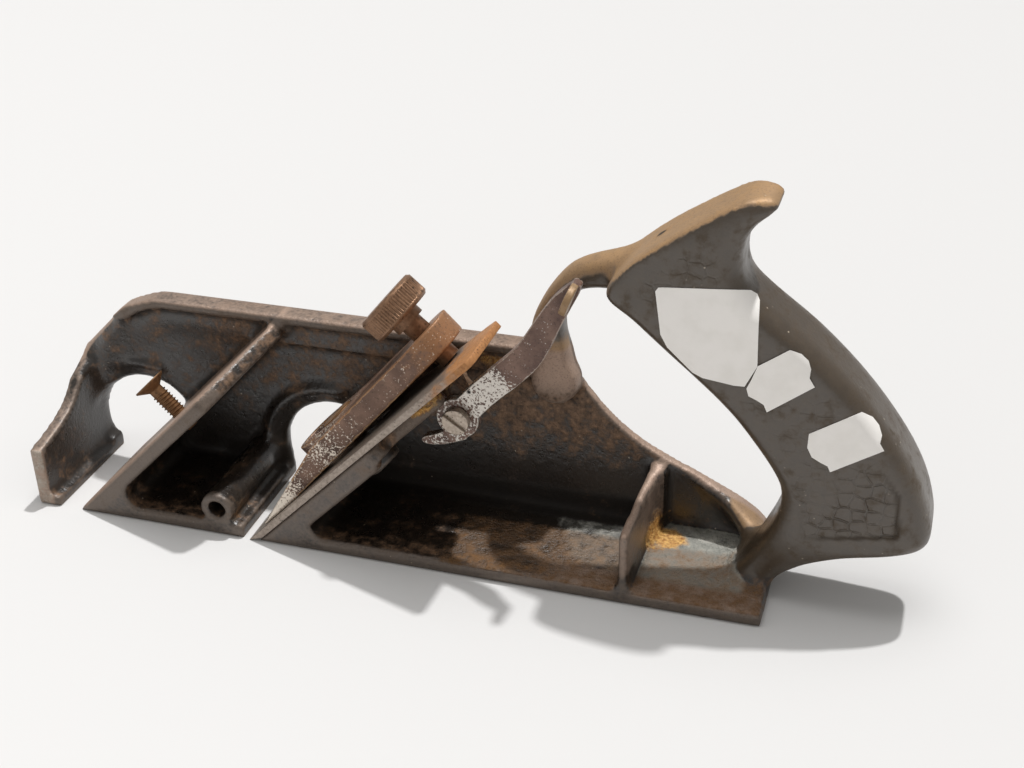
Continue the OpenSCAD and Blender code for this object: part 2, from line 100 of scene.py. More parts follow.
def ink(code):
    """sRGB hex to linear RGBA."""
    parts = [int(code[k:k + 2], 16) / 255.0 for k in (1, 3, 5)]
    return tuple(c / 12.92 if c <= 0.04045 else ((c + 0.055) / 1.055) ** 2.4 for c in parts) + (1.0,)


def put(tree, kind, inputs=None, **settings):
    """Adds a node, sets its fields and joins or sets its inputs."""
    node = tree.nodes.new(kind)
    for name, value in settings.items():
        setattr(node, name, value)
    for name, value in (inputs or {}).items():
        socket = node.inputs[name]
        if isinstance(value, bpy.types.NodeSocket):
            tree.links.new(value, socket)
        else:
            socket.default_value = value
    return node


def new_material(name):
    """Empty node material and its tree."""
    material = bpy.data.materials.new(name)
    material.use_nodes = True
    tree = material.node_tree
    tree.nodes.clear()
    return material, tree


def per(size_mm):
    """Texture scale whose pattern repeats about every size_mm."""
    return 1000.0 / size_mm


def ragged(t, mask, noises, low, high, top=1.0):
    """A mask with a ragged soft edge: noises that vary about zero are added, each times its gain,
    and the sum rises from nothing at low to top at high."""
    for noise, gain in noises:
        mask = put(t, "ShaderNodeMath", {0: noise, 1: gain, 2: mask}, operation="MULTIPLY_ADD").outputs[0]
    limits = {"Value": mask, "From Min": low, "From Max": high, "To Max": top}
    return put(t, "ShaderNodeMapRange", limits, interpolation_type="SMOOTHSTEP").outputs[0]


# Materials

def japanned_iron():
    """Black japanning stoved on a sand casting: a semi-gloss near-black skin that has browned,
    is rubbed through to dull brown iron on rims and edges, and holds rust and dust in its corners,
    which together with the grip's furrows are also darkened with painted shade."""
    material, t = new_material("japanned_cast_iron")
    at = put(t, "ShaderNodeTexCoord").outputs["Object"]
    wear, pale, brown, grip, rust, dust, sand, skin, hollow = (
        put(t, "ShaderNodeAttribute", attribute_name=name).outputs["Fac"]
        for name in ("wear", "pale", "brown", "grip", "rust", "dust", "sand", "skin", "hollow"))
    # sizes in mm; 0.5 is about two pixels at this distance, the finest that shows
    cloud, patch, grit, fleck = (
        put(t, "ShaderNodeTexNoise",
            {"Vector": at, "Scale": per(size), "Detail": detail, "Roughness": rough}).outputs["Fac"]
        for size, detail, rough in ((9, 6.0, 0.65), (3.2, 5.0, 0.65), (1.0, 3.0, 0.6), (0.5, 2.0, 0.5)))
    cloud_off, patch_off, grit_off = (
        put(t, "ShaderNodeMath", {0: noise, 1: 0.5}, operation="SUBTRACT").outputs[0]
        for noise in (cloud, patch, grit))

    # how far each change of the surface has gone
    browned = ragged(t, brown, ((patch_off, 2.0), (cloud_off, 1.5)), 0.2, 0.95)
    rubbed = ragged(t, wear, ((grit_off, 0.8), (patch_off, 0.6)), 0.25, 0.75)
    powdered = ragged(t, dust, ((patch_off, 1.0),), 0.25, 0.85, 0.9)
    sanded = ragged(t, sand, ((patch_off, 0.9),), 0.3, 0.8, 0.85)
    rusted = ragged(t, rust, ((patch_off, 1.3),), 0.3, 0.8)
    # scattered pale crumbs, 0.3 mm across
    crumb = put(t, "ShaderNodeTexVoronoi", {"Vector": at, "Scale": per(3.4), "Randomness": 1.0})
    crumb = put(t, "ShaderNodeMapRange", {"Value": crumb.outputs["Distance"], "From Min": 0.05,
                                          "From Max": 0.085, "To Min": 0.75, "To Max": 0.0}).outputs[0]
    strewn = put(t, "ShaderNodeMapRange", {"Value": cloud, "From Min": 0.48, "From Max": 0.6}).outputs[0]
    crumb = put(t, "ShaderNodeMath", {0: crumb, 1: strewn}, operation="MULTIPLY").outputs[0]

    # reptile-skin panel cast into the grip: cells of about 4 mm with narrow worn furrows
    flat = put(t, "ShaderNodeVectorMath", {0: at, 1: (1.0, 0.0, 1.0)}, operation="MULTIPLY").outputs[0]
    ripple = put(t, "ShaderNodeTexNoise", {"Vector": flat, "Scale": per(7), "Detail": 2.0}).outputs["Color"]
    reach = (2.2 * MM,) * 3
    ripple = put(t, "ShaderNodeVectorMath", {0: ripple, 1: reach, 2: flat},
                 operation="MULTIPLY_ADD").outputs[0]
    cells = put(t, "ShaderNodeTexVoronoi", {"Vector": ripple, "Scale": per(3.7), "Randomness": 0.55},
                feature="DISTANCE_TO_EDGE").outputs["Distance"]
    furrow = put(t, "ShaderNodeMapRange", {"Value": cells, "From Max": 0.13, "To Min": 1.0, "To Max": 0.0},
                 interpolation_type="SMOOTHSTEP").outputs[0]
    faded = put(t, "ShaderNodeMapRange", {"Value": cloud, "From Min": 0.4, "From Max": 0.6, "To Min": 0.3},
                interpolation_type="SMOOTHSTEP").outputs[0]
    for share in (skin, faded):
        furrow = put(t, "ShaderNodeMath", {0: furrow, 1: share}, operation="MULTIPLY").outputs[0]

    # two tones each: black skin, browned skin, the grip's even brown-grey, iron polished by the work
    # and tan by hands, dust, sand, rust scale
    mottle = put(t, "ShaderNodeMath", {0: grit, 1: patch}, operation="ADD").outputs[0]
    mottle = put(t, "ShaderNodeMapRange", {"Value": mottle, "From Min": 0.75, "From Max": 1.25}).outputs[0]
    patchy, gritty = (
        put(t, "ShaderNodeMapRange", {"Value": noise, "From Min": 0.35, "From Max": 0.65}).outputs[0]
        for noise in (patch, grit))
    black, tobacco, held, polished, powder, golden, scale = (
        put(t, "ShaderNodeMix", {0: share, 6: ink(low), 7: ink(high)}, data_type="RGBA").outputs[2]
        for share, low, high in (
            (cloud, "#151210", "#30271f"), (mottle, "#3d2f24", "#836750"), (patch, "#332a20", "#524536"),
            (grip, "#b09684", "#a8865f"), (patchy, "#82827a", "#bcbab0"), (grit, "#5e4429", "#866038"),
            (gritty, "#a56d2c", "#ecbb6c")))

    # bare iron is grey-brown where it slides on the work, with darker patches and pits
    dull = put(t, "ShaderNodeMapRange", {"Value": patch, "From Min": 0.35, "From Max": 0.62,
                                         "To Min": 0.2, "To Max": 0.0}).outputs[0]
    pitted = put(t, "ShaderNodeMapRange",
                 {"Value": fleck, "From Min": 0.54, "From Max": 0.68, "To Max": 0.3}).outputs[0]
    bare = ink("#6b5f55")
    for share, tone in ((pale, polished), (dull, ink("#54443a")), (pitted, ink("#3a2d24"))):
        bare = put(t, "ShaderNodeMix", {0: share, 6: bare, 7: tone}, data_type="RGBA").outputs[2]

    # painted shade darkens the furrows and corners, over all other layers
    corner_shade = put(t, "ShaderNodeMath", {0: hollow, 1: 0.4}, operation="MULTIPLY").outputs[0]
    corner_shade = put(t, "ShaderNodeMath", {0: furrow, 1: 0.2, 2: corner_shade}, operation="MULTIPLY_ADD",
                use_clamp=True).outputs[0]
    colour = black
    for share, layer in ((browned, tobacco), (grip, held), (rubbed, bare), (powdered, powder),
                         (sanded, golden), (rusted, scale), (crumb, ink("#b5a693")), (corner_shade, ink("#1c1916"))):
        colour = put(t, "ShaderNodeMix", {0: share, 6: colour, 7: layer}, data_type="RGBA").outputs[2]

    matt, worn, dim = (
        put(t, "ShaderNodeMath", {0: one, 1: other}, operation="MAXIMUM").outputs[0]
        for one, other in ((powdered, rusted), (rubbed, browned), (browned, hollow)))
    matt = put(t, "ShaderNodeMath", {0: matt, 1: sanded}, operation="MAXIMUM").outputs[0]
    rough = put(t, "ShaderNodeMapRange", {"Value": worn, "To Min": 0.22, "To Max": 0.45}).outputs[0]
    for share, gain in ((grip, 0.05), (hollow, 0.4), (matt, 0.35), (patch, 0.14)):
        rough = put(t, "ShaderNodeMath", {0: share, 1: gain, 2: rough}, operation="MULTIPLY_ADD").outputs[0]
    metal = put(t, "ShaderNodeMath", {0: rubbed, 1: 0.35}, operation="MULTIPLY").outputs[0]
    shine = put(t, "ShaderNodeMapRange", {"Value": dim, "To Min": 0.8, "To Max": 0.3}).outputs[0]

    # relief: lumpy sand-cast skin, smoother on the grip, then the furrows, then crusts of rust and dust
    height = put(t, "ShaderNodeMath", {0: grit, 1: 0.35}, operation="MULTIPLY").outputs[0]
    height = put(t, "ShaderNodeMath", {0: patch, 1: 0.6, 2: height}, operation="MULTIPLY_ADD").outputs[0]
    lump = put(t, "ShaderNodeMapRange", {"Value": grip, "To Min": 0.3, "To Max": 0.0}).outputs[0]
    lump = put(t, "ShaderNodeMath", {0: brown, 1: 0.7, 2: lump}, operation="MULTIPLY_ADD").outputs[0]
    crust = put(t, "ShaderNodeMath", {0: grit, 1: matt}, operation="MULTIPLY").outputs[0]
    cast = put(t, "ShaderNodeBump", {"Height": height, "Strength": lump, "Distance": 0.7 * MM}).outputs[0]
    for relief, depth, sunk in ((furrow, 0.3, True), (crust, 0.9, False)):
        cast = put(t, "ShaderNodeBump", {"Height": relief, "Strength": 0.9, "Distance": depth * MM,
                                         "Normal": cast}, invert=sunk).outputs[0]
    shader = put(t, "ShaderNodeBsdfPrincipled", {"Base Color": colour, "Roughness": rough, "Metallic": metal,
                                                 "Specular IOR Level": shine, "Normal": cast})
    put(t, "ShaderNodeOutputMaterial", {"Surface": shader.outputs[0]})
    return material


def aged_steel(name, steel, oxide, brown_span, axis, rough, metallic, pit):
    """Old bare steel: grey with dark pits pit mm apart, browning along axis over brown_span, in mm.
    steel and oxide are each a darker and a lighter tone."""
    material, t = new_material(name)
    at = put(t, "ShaderNodeTexCoord").outputs["Object"]
    cloud, grit = (
        put(t, "ShaderNodeTexNoise",
            {"Vector": at, "Scale": per(size), "Detail": detail, "Roughness": grain}).outputs["Fac"]
        for size, detail, grain in ((6, 6.0, 0.65), (0.9, 3.0, 0.5)))
    pits = put(t, "ShaderNodeTexVoronoi", {"Vector": at, "Scale": per(pit), "Randomness": 1.0})
    pits = put(t, "ShaderNodeMapRange", {"Value": pits.outputs["Distance"], "From Min": 0.12,
                                         "From Max": 0.34, "To Min": 1.0, "To Max": 0.0},
               interpolation_type="SMOOTHSTEP").outputs[0]
    eaten = put(t, "ShaderNodeMapRange", {"Value": cloud, "From Min": 0.42, "From Max": 0.6}).outputs[0]
    pits = put(t, "ShaderNodeMath", {0: pits, 1: eaten}, operation="MULTIPLY").outputs[0]
    along = put(t, "ShaderNodeVectorMath", {0: at, 1: axis}, operation="DOT_PRODUCT").outputs["Value"]
    start, end = (place * MM for place in brown_span)
    browning = put(t, "ShaderNodeMapRange", {"Value": along, "From Min": start, "From Max": end}).outputs[0]
    cloud_off = put(t, "ShaderNodeMath", {0: cloud, 1: 0.5}, operation="SUBTRACT").outputs[0]
    browning = ragged(t, browning, ((cloud_off, 1.6),), 0.25, 0.8)

    clean, rusty = (
        put(t, "ShaderNodeMix", {0: grit, 6: ink(low), 7: ink(high)}, data_type="RGBA").outputs[2]
        for low, high in (steel, oxide))
    dark = put(t, "ShaderNodeMath", {0: pits, 1: 0.8}, operation="MULTIPLY").outputs[0]
    colour = clean
    for share, layer in ((browning, rusty), (dark, ink("#2b221b"))):
        colour = put(t, "ShaderNodeMix", {0: share, 6: colour, 7: layer}, data_type="RGBA").outputs[2]
    roughness = rough - 0.1
    for share, gain in ((cloud, 0.2), (browning, 0.25)):
        roughness = put(t, "ShaderNodeMath", {0: share, 1: gain, 2: roughness},
                        operation="MULTIPLY_ADD").outputs[0]
    metal = put(t, "ShaderNodeMath", {0: browning, 1: -0.5 * metallic, 2: metallic},
                operation="MULTIPLY_ADD").outputs[0]
    height = put(t, "ShaderNodeMath", {0: grit, 1: 0.4}, operation="MULTIPLY").outputs[0]
    height = put(t, "ShaderNodeMath", {0: pits, 1: -0.6, 2: height}, operation="MULTIPLY_ADD").outputs[0]
    bump = put(t, "ShaderNodeBump", {"Height": height, "Strength": 0.5, "Distance": 0.15 * MM}).outputs[0]
    shader = put(t, "ShaderNodeBsdfPrincipled", {"Base Color": colour, "Roughness": roughness,
                                                 "Metallic": metal, "Normal": bump})
    put(t, "ShaderNodeOutputMaterial", {"Surface": shader.outputs[0]})
    return material


def worn_plating(name, ground, plate, edge, oxide, rough):
    """Nickel plating that has flaked to specks: a brown ground of two tones with pale metal islands
    where the piece's plate attribute is high, rubbed lighter on its edges, rusty where marked, and
    painted near-black as the shade in a small hole."""
    material, t = new_material(name)
    at = put(t, "ShaderNodeTexCoord").outputs["Object"]
    left, wear, rust, hole_shade = (
        put(t, "ShaderNodeAttribute", attribute_name=mark).outputs["Fac"]
        for mark in ("plate", "wear", "rust", "hole_shade"))
    # the finest specks are about 0.6 mm
    cloud, patch, fleck = (
        put(t, "ShaderNodeTexNoise",
            {"Vector": at, "Scale": per(size), "Detail": detail, "Roughness": 0.6}).outputs["Fac"]
        for size, detail in ((7, 5.0), (2.4, 4.0), (0.6, 3.0)))
    patch_off, fleck_off = (
        put(t, "ShaderNodeMath", {0: noise, 1: 0.5}, operation="SUBTRACT").outputs[0]
        for noise in (patch, fleck))
    clouded = put(t, "ShaderNodeMapRange", {"Value": cloud, "From Min": 0.35, "From Max": 0.65}).outputs[0]
    rubbed = ragged(t, wear, ((patch_off, 1.2),), 0.3, 0.8)
    rusty = ragged(t, rust, ((patch_off, 1.4),), 0.3, 0.8)
    left = ragged(t, left, ((patch_off, 1.0), (fleck_off, 2.4)), 0.44, 0.62)
    pit = put(t, "ShaderNodeMapRange", {"Value": fleck, "From Min": 0.3, "From Max": 0.42,
                                        "To Min": 0.6, "To Max": 0.0}).outputs[0]
    low, high = ground
    colour = ink(low)
    for share, layer in ((clouded, high), (rubbed, edge), (rusty, oxide), (left, plate), (pit, "#2c221c"),
                         (hole_shade, "#17120f")):
        colour = put(t, "ShaderNodeMix", {0: share, 6: colour, 7: ink(layer)}, data_type="RGBA").outputs[2]
    metal, roughness = (
        put(t, "ShaderNodeMapRange", {"Value": left, "To Min": worn, "To Max": whole}).outputs[0]
        for worn, whole in ((0.25, 0.7), (rough, rough - 0.1)))
    height = put(t, "ShaderNodeMath", {0: left, 1: 0.5, 2: fleck}, operation="MULTIPLY_ADD").outputs[0]
    bump = put(t, "ShaderNodeBump", {"Height": height, "Strength": 0.5, "Distance": 0.12 * MM}).outputs[0]
    shader = put(t, "ShaderNodeBsdfPrincipled", {"Base Color": colour, "Roughness": roughness,
                                                 "Metallic": metal, "Normal": bump})
    put(t, "ShaderNodeOutputMaterial", {"Surface": shader.outputs[0]})
    return material


def label_paper():
    """Coated sticker paper: matt white, faintly mottled."""
    material, t = new_material("sticker_paper")
    at = put(t, "ShaderNodeTexCoord").outputs["Object"]
    soil, fibre = (
        put(t, "ShaderNodeTexNoise", {"Vector": at, "Scale": per(size), "Detail": detail}).outputs["Fac"]
        for size, detail in ((6, 5.0), (0.6, 2.0)))
    tone = ragged(t, soil, (), 0.4, 0.75)
    colour = put(t, "ShaderNodeMix", {0: tone, 6: ink("#f1ede8"), 7: ink("#eae6e0")},
                 data_type="RGBA").outputs[2]
    bump = put(t, "ShaderNodeBump", {"Height": fibre, "Strength": 0.2, "Distance": 0.05 * MM}).outputs[0]
    shader = put(t, "ShaderNodeBsdfPrincipled", {"Base Color": colour, "Roughness": 0.55, "Normal": bump})
    put(t, "ShaderNodeOutputMaterial", {"Surface": shader.outputs[0]})
    return material


def table_white():
    """Matt white table top that takes a clean shadow."""
    material, t = new_material("white_table")
    shader = put(t, "ShaderNodeBsdfDiffuse", {"Color": ink("#dad9d8"), "Roughness": 0.6})
    put(t, "ShaderNodeOutputMaterial", {"Surface": shader.outputs[0]})
    return material


# Mesh helpers

def alone(piece):
    """Makes piece the only selected and the active object."""
    if bpy.context.object and bpy.context.object.mode != "OBJECT":
        bpy.ops.object.mode_set(mode="OBJECT")
    bpy.ops.object.select_all(action="DESELECT")
    piece.select_set(True)
    bpy.context.view_layer.objects.active = piece


def on_all(piece, *steps):
    """Runs edit-mode operators on a piece's whole mesh, each given with its settings."""
    alone(piece)
    bpy.ops.object.mode_set(mode="EDIT")
    bpy.ops.mesh.select_all(action="SELECT")
    for operator, settings in steps:
        operator(**settings)
    bpy.ops.object.mode_set(mode="OBJECT")


def modify(piece, kind, **settings):
    """Adds a modifier and applies it."""
    alone(piece)
    modifier = piece.modifiers.new(kind.lower(), kind)
    for name, value in settings.items():
        setattr(modifier, name, value)
    bpy.ops.object.modifier_apply(modifier=modifier.name)


def smooth_below(piece, degrees):
    """Smooth shading, with edges sharper than so many degrees left crisp."""
    alone(piece)
    bpy.ops.object.shade_smooth_by_angle(angle=math.radians(degrees))


def copy_of(node, name):
    """Merged copy of a solid's mesh, as a piece of its own."""
    piece = bpy.data.objects.new(name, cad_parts[node].data.copy())
    bpy.context.collection.objects.link(piece)
    on_all(piece, (bpy.ops.mesh.remove_doubles, {"threshold": 0.002 * MM}))
    return piece


def paint(piece, material):
    """Gives a piece its one material."""
    piece.data.materials.clear()
    piece.data.materials.append(material)


def soften(piece, width, segments):
    """Merged flats with a small rounded edge, as left by filing and handling."""
    on_all(piece, (bpy.ops.mesh.dissolve_limited, {"angle_limit": math.radians(0.6)}))
    modify(piece, "BEVEL", width=width * MM, segments=segments, limit_method="ANGLE",
           angle_limit=math.radians(28.0), use_clamp_overlap=True, miter_outer="MITER_ARC")
    smooth_below(piece, 35.0)


def even_mesh(piece, grain):
    """Remakes a piece in even faces grain mm across, so that masks and wear can follow its form."""
    modify(piece, "REMESH", mode="VOXEL", voxel_size=grain * MM, adaptivity=0.0, use_smooth_shade=True)


def points_of(piece):
    """Vertex places in millimetres, their normals, and the edges, as arrays."""
    mesh = piece.data
    place, normal = (np.empty(len(mesh.vertices) * 3, np.float32) for _ in range(2))
    mesh.vertices.foreach_get("co", place)
    mesh.vertices.foreach_get("normal", normal)
    edge = np.empty(len(mesh.edges) * 2, np.int32)
    mesh.edges.foreach_get("vertices", edge)
    return place.reshape(-1, 3) * 1000.0, normal.reshape(-1, 3), edge.reshape(-1, 2)


def spread(values, edge, rounds):
    """Averages values over neighbouring vertices, so many rounds."""
    out = values.astype(np.float64).copy()
    count = np.bincount(edge.ravel(), minlength=len(out)).astype(np.float64)
    first, second = edge.T
    for _ in range(rounds):
        total = np.zeros_like(out)
        for k in range(out.shape[1]):
            total[:, k] = (np.bincount(first, out[second, k], len(out))
                           + np.bincount(second, out[first, k], len(out)))
        out = 0.5 * out + 0.5 * total / np.maximum(count, 1.0)[:, None]
    return out


def bulge_of(place, normal, edge, rounds):
    """How far each vertex stands out of its neighbourhood: positive on edges, negative in corners."""
    return ((place - spread(place, edge, rounds)) * normal).sum(axis=1)


# Masks from 0 to 1, over places in millimetres or over the parts of a normal

def step(none, full, values):
    """Smooth rise from 0 at none to 1 at full, which may be the lesser of the two."""
    t = np.clip((values - none) / (full - none), 0.0, 1.0)
    return t * t * (3.0 - 2.0 * t)


def band(values, start, full, last, end):
    """Rises from start to full, and falls again from last to end."""
    return step(start, full, values) * step(end, last, values)


def bell(values, middle, width):
    """Smooth hump about the middle."""
    return np.exp(-((values - middle) / width) ** 2)


def keep(piece, name, values):
    """Stores one number per vertex under that name."""
    layer = piece.data.attributes.new(name, "FLOAT", "POINT")
    layer.data.foreach_set("value", np.clip(values, 0.0, 1.0).astype(np.float32))


def inside(outline, x, z):
    """Even-odd test of points against an outline, and their distance to it."""
    hit = np.zeros(len(x), bool)
    far = np.full(len(x), np.inf)
    for (ax, az), (bx, bz) in zip(outline, outline[1:] + outline[:1]):
        dx, dz = bx - ax, bz - az
        if dz:
            hit ^= ((az > z) != (bz > z)) & (x < ax + (z - az) / dz * dx)
        s = np.clip(((x - ax) * dx + (z - az) * dz) / (dx * dx + dz * dz), 0.0, 1.0)
        far = np.minimum(far, np.hypot(x - ax - s * dx, z - az - s * dz))
    return hit, far


# Casting

# Grain of its mesh, which keeps it under 200,000 triangles
CASTING_GRAIN = 0.87
# Outline of the reptile-skin panel on the grip, x and z
SKIN_PANEL = [
    (115.5, 22.6), (140.2, 27.4), (139.0, 40.5), (131.5, 51.5), (122.5, 62.5), (111.5, 73.0), (100.5, 82.0),
    (93.0, 90.5), (90.5, 97.0), (88.0, 101.0), (80.5, 99.0), (72.5, 92.5), (70.5, 88.0), (74.0, 83.5),
    (82.0, 77.0), (91.0, 69.0), (99.0, 59.5), (106.0, 50.0), (111.0, 41.0), (113.5, 33.0)]


def above_bed(x, z, toe):
    """Height of points above the slope of a bed."""
    return (z - (x - toe)) * SLOPE


def from_lip(x, z):
    """Distance to the nearer of the two lips round the throats."""
    return np.minimum(*(np.abs(np.hypot(x - cx, z - cz) - LIP_RADIUS) for cx, cz in THROATS))


def fill_nose(place, normal):
    """Places with a fuller nose: the shoulder where the rim turns down is pushed out along its
    slope, and the edge of the nose plate is lifted near the wall."""
    x, y, z = place.T
    facing = 0.74 * normal[:, 2] - 0.67 * normal[:, 0]
    shoulder = step(0.4, 0.7, facing) * band(x, -107.0, -102.0, -90.0, -84.0) * step(34.0, 38.0, z)
    lift = bell(y, 10.5, 6.5) * step(-98.0, -104.0, x) * band(z, 18.0, 26.0, 35.0, 40.0)
    return place + np.outer(shoulder, (-0.6, 0.0, 0.66)) + np.outer(lift, (0.0, 0.0, 2.8))


def smooth_zone(piece, name, weight, rounds):
    """Smooths a piece where weight is high, in tenths."""
    group = piece.vertex_groups.new(name=name)
    tenths = np.round(np.clip(weight, 0.0, 1.0) * 10.0).astype(int)
    for k in range(1, 11):
        group.add(np.nonzero(tenths == k)[0].tolist(), k / 10.0, "REPLACE")
    modify(piece, "SMOOTH", factor=0.5, iterations=rounds, vertex_group=name)


def soften_casting(piece):
    """Sand-cast softness: slight on the body, more round the throats and the nose, most at the foot
    of the handle. Gives the mask of the handle."""
    place, normal, edge = points_of(piece)
    place = fill_nose(place, normal)
    piece.data.vertices.foreach_set("co", (place * MM).astype(np.float32).ravel())
    piece.data.update()
    x, y, z = place.T
    bulge = bulge_of(place, normal, edge, 6)

    handle = np.maximum(step(57.5, 60.0, z), step(88.0, 98.0, x) * step(4.5, 9.0, z) * step(16.5, 14.0, y))
    # ground faces stay crisp: sole, open side and outer face
    cast = np.where((z < 1.0) | (y < -18.2) | (y > 18.3), 0.35, 1.0)
    cast = np.where((handle > 0.5) | ((x > 104.5) & (y < -14.0)), 1.0, cast)
    # edges of the horn, and its tip
    ridge = step(0.12, 0.3, bulge) * step(84.0, 88.0, z)
    ridge = np.maximum(ridge, step(94.0, 99.0, x) * step(104.0, 108.0, z))
    # hollow of the nose plate, and the lips
    flow = step(-86.0, -92.0, x) * band(z, 2.6, 5.0, 36.0, 42.0) * (bulge < 0.12)
    flow = np.maximum(flow, step(7.0, 4.0, from_lip(x, z)) * step(8.0, 10.5, y) * step(3.5, 6.0, z))
    flow = np.where((y > 18.5) | (y < -18.0), 0.0, flow)
    foot = band(x, 84.0, 90.0, 108.0, 114.0) * band(z, 2.8, 3.6, 13.0, 19.0) * step(17.5, 15.5, y)
    foot = np.where((y < -16.0) | (bulge > 0.35), 0.0, foot)
    root = np.hypot(x - ARM_ROOT[0], z - ARM_ROOT[1])
    root = step(12.0, 9.0, root) * band(y, 5.0, 7.0, 13.0, 14.8)
    # the rim turns into the nose plate in one soft bend, with the outer face kept flat
    bend = step(15.0, 8.0, np.hypot(x + 104.0, z - 37.0)) * step(29.0, 32.0, z)
    bend = bend * np.where(x + 108.0 - 1.1 * (z - 34.8) > 2.2, step(18.6, 17.0, y), 1.0)
    web = band(x, 64.0, 67.0, 77.0, 80.0) * band(z, 3.0, 5.0, 25.0, 28.0) * step(15.5, 14.0, y)
    # inner face of the wall ahead of the forward bed
    bay = step(1.5, 4.0, above_bed(x, z, FRONT_TOE)) * band(z, 34.0, 37.0, 48.2, 49.6)
    bay = bay * band(y, 9.0, 10.5, 16.4, 17.2)
    zones = {"cast": (cast, 4), "grip": (handle * (1.0 - 0.9 * ridge), 14), "flow": (flow, 26),
             "foot": (foot, 90), "root": (root, 40), "bend": (bend, 40), "web": (web, 24), "bay": (bay, 90)}
    for name, (weight, rounds) in zones.items():
        smooth_zone(piece, name, weight, rounds)
    piece.vertex_groups.clear()
    return handle


def survey(piece, handle):
    """What the casting's marks are worked out from: places and normals of its vertices, how far
    each stands out, its heights above the beds, and some regions that several marks share."""
    place, normal, edge = points_of(piece)
    x, y, z = place.T
    nx, ny, nz = normal.T
    bulge = spread(bulge_of(place, normal, edge, 12)[:, None], edge, 2)[:, 0]
    floor = step(0.45, 0.8, nz) * step(11.0, 6.0, z) * (z > 3.0)
    # the floor's strip along the open side, faces of the web, and end of the nose on the open side
    strip = step(0.6, 0.9, nz) * step(-8.0, -12.0, y) * band(z, 2.6, 3.4, 6.0, 8.0) * step(34.0, 60.0, x)
    web = band(x, 66.0, 67.5, 78.0, 80.0) * band(z, 7.0, 10.0, 26.0, 28.0) * (y < 13.0)
    web = web * step(0.4, 0.8, np.maximum(nx, -ny))
    nose_end = step(-17.6, -18.4, y) * step(-102.5, -103.5, x)
    nick = step(1.6, 0.7, np.hypot(x - NICK[0], y - NICK[1])) * (z > 70.0)
    return SimpleNamespace(
        x=x, y=y, z=z, nx=nx, ny=ny, nz=nz, bulge=bulge, handle=handle, uphill=(nz - nx) * SLOPE,
        above_main=above_bed(x, z, MAIN_TOE), above_front=above_bed(x, z, FRONT_TOE),
        floor=floor, strip=strip, web=web, nose_end=nose_end, nick=nick)


def polish_of(iron):
    """Where hands and work have polished the iron paler, and where the arm's root boss is painted paler
    towards its top as light from above.
    """
    x, y, z, nz = iron.x, iron.y, iron.z, iron.nz
    rim = step(0.45, 0.75, nz) * band(z, 52.5, 54.0, 54.0, 60.0) * step(44.0, 40.0, x)
    nose_slope = step(0.5, 0.75, iron.uphill) * step(-84.0, -90.0, x) * step(10.0, 12.5, y)
    nose_slope = nose_slope * step(26.0, 30.0, z)
    plate_edge = step(0.6, 0.85, nz) * step(-103.0, -104.5, x) * step(16.0, 18.0, z)
    wall_slope = step(0.3, 0.65, nz) * step(14.0, 15.2, y) * step(40.0, 46.0, x) * step(6.0, 9.0, z)
    heel = step(0.3, 0.6, nz) * step(8.0, 9.0, y) * band(x, 92.0, 95.0, 104.0, 108.0)
    heel = heel * band(z, 6.0, 8.0, 18.0, 22.0)
    crest = np.minimum(82.0 + (x - 62.0) * 0.86, 110.0)
    horn = step(0.4, 0.6, nz) * step(-1.0, 1.0, z - crest) * step(54.0, 58.0, x)
    arm = step(-0.05, 0.45, nz - 0.5 * iron.nx) * step(57.5, 66.0, z) * step(66.0, 60.0, x)
    # the arm's root boss: pale partly as worn iron and partly as painted light, paler towards its top
    root = step(8.6, 6.6, np.hypot(x - ARM_ROOT[0], z - ARM_ROOT[1]))
    root = np.maximum(root, band(x, 36.0, 38.0, 49.0, 52.0) * band(z, 44.0, 48.0, 58.0, 66.0))
    root = root * band(y, 7.4, 8.4, 14.0, 15.5)
    front_bed = step(0.7, 0.25, np.abs(iron.above_front)) * step(0.5, 0.7, iron.uphill) * (x < MAIN_TOE)
    web_top = step(0.3, 0.7, nz) * band(x, 66.0, 68.0, 76.0, 80.0) * band(z, 17.5, 19.0, 25.0, 27.0)
    return np.maximum.reduce([
        rim * (0.75 + 0.25 * step(-90.0, -70.0, x)), 0.9 * nose_slope, 0.45 * plate_edge,
        0.85 * wall_slope * (iron.handle < 0.6), 0.8 * heel, horn, 0.95 * arm,
        root * (0.22 + 0.63 * step(41.0, 52.0, z)), 0.9 * front_bed, 0.9 * web_top * (y < 15.0),
        iron.nose_end])


def wear_of(iron, pale):
    """Where the japanning is rubbed off: edges, the open side, beds, sole, and all polished places.
    The lips and the grip have kept more of it."""
    x, y, z = iron.x, iron.y, iron.z
    edges = 0.7 * step(0.12, 0.36, iron.bulge) * np.where(iron.handle > 0.5, 0.45, 1.0)
    edges = edges * (1.0 - 0.7 * step(8.0, 6.0, from_lip(x, z)) * (y > 8.0))
    open_side = step(0.35, 0.75, -iron.ny) * step(-17.2, -18.2, y)
    main_bed = step(0.7, 0.25, np.abs(iron.above_main)) * step(0.5, 0.7, iron.uphill) * (x > MAIN_TOE - 1.0)
    front_bed = band(iron.above_front, -5.6, -4.4, 0.2, 0.8) * step(0.3, 0.6, -iron.ny) * (x < MAIN_TOE + 2.0)
    return np.maximum.reduce([
        edges, 1.25 * pale, open_side * (0.54 - 0.2 * step(24.0, 36.0, z) * (x > 0.0)), 0.7 * main_bed,
        # the floor strip and the web's faces show bare iron here, partly as wear and partly as painted light
        # on them
        0.75 * front_bed, 0.9 * step(1.0, 0.4, z), 0.85 * iron.strip, 0.6 * iron.web])


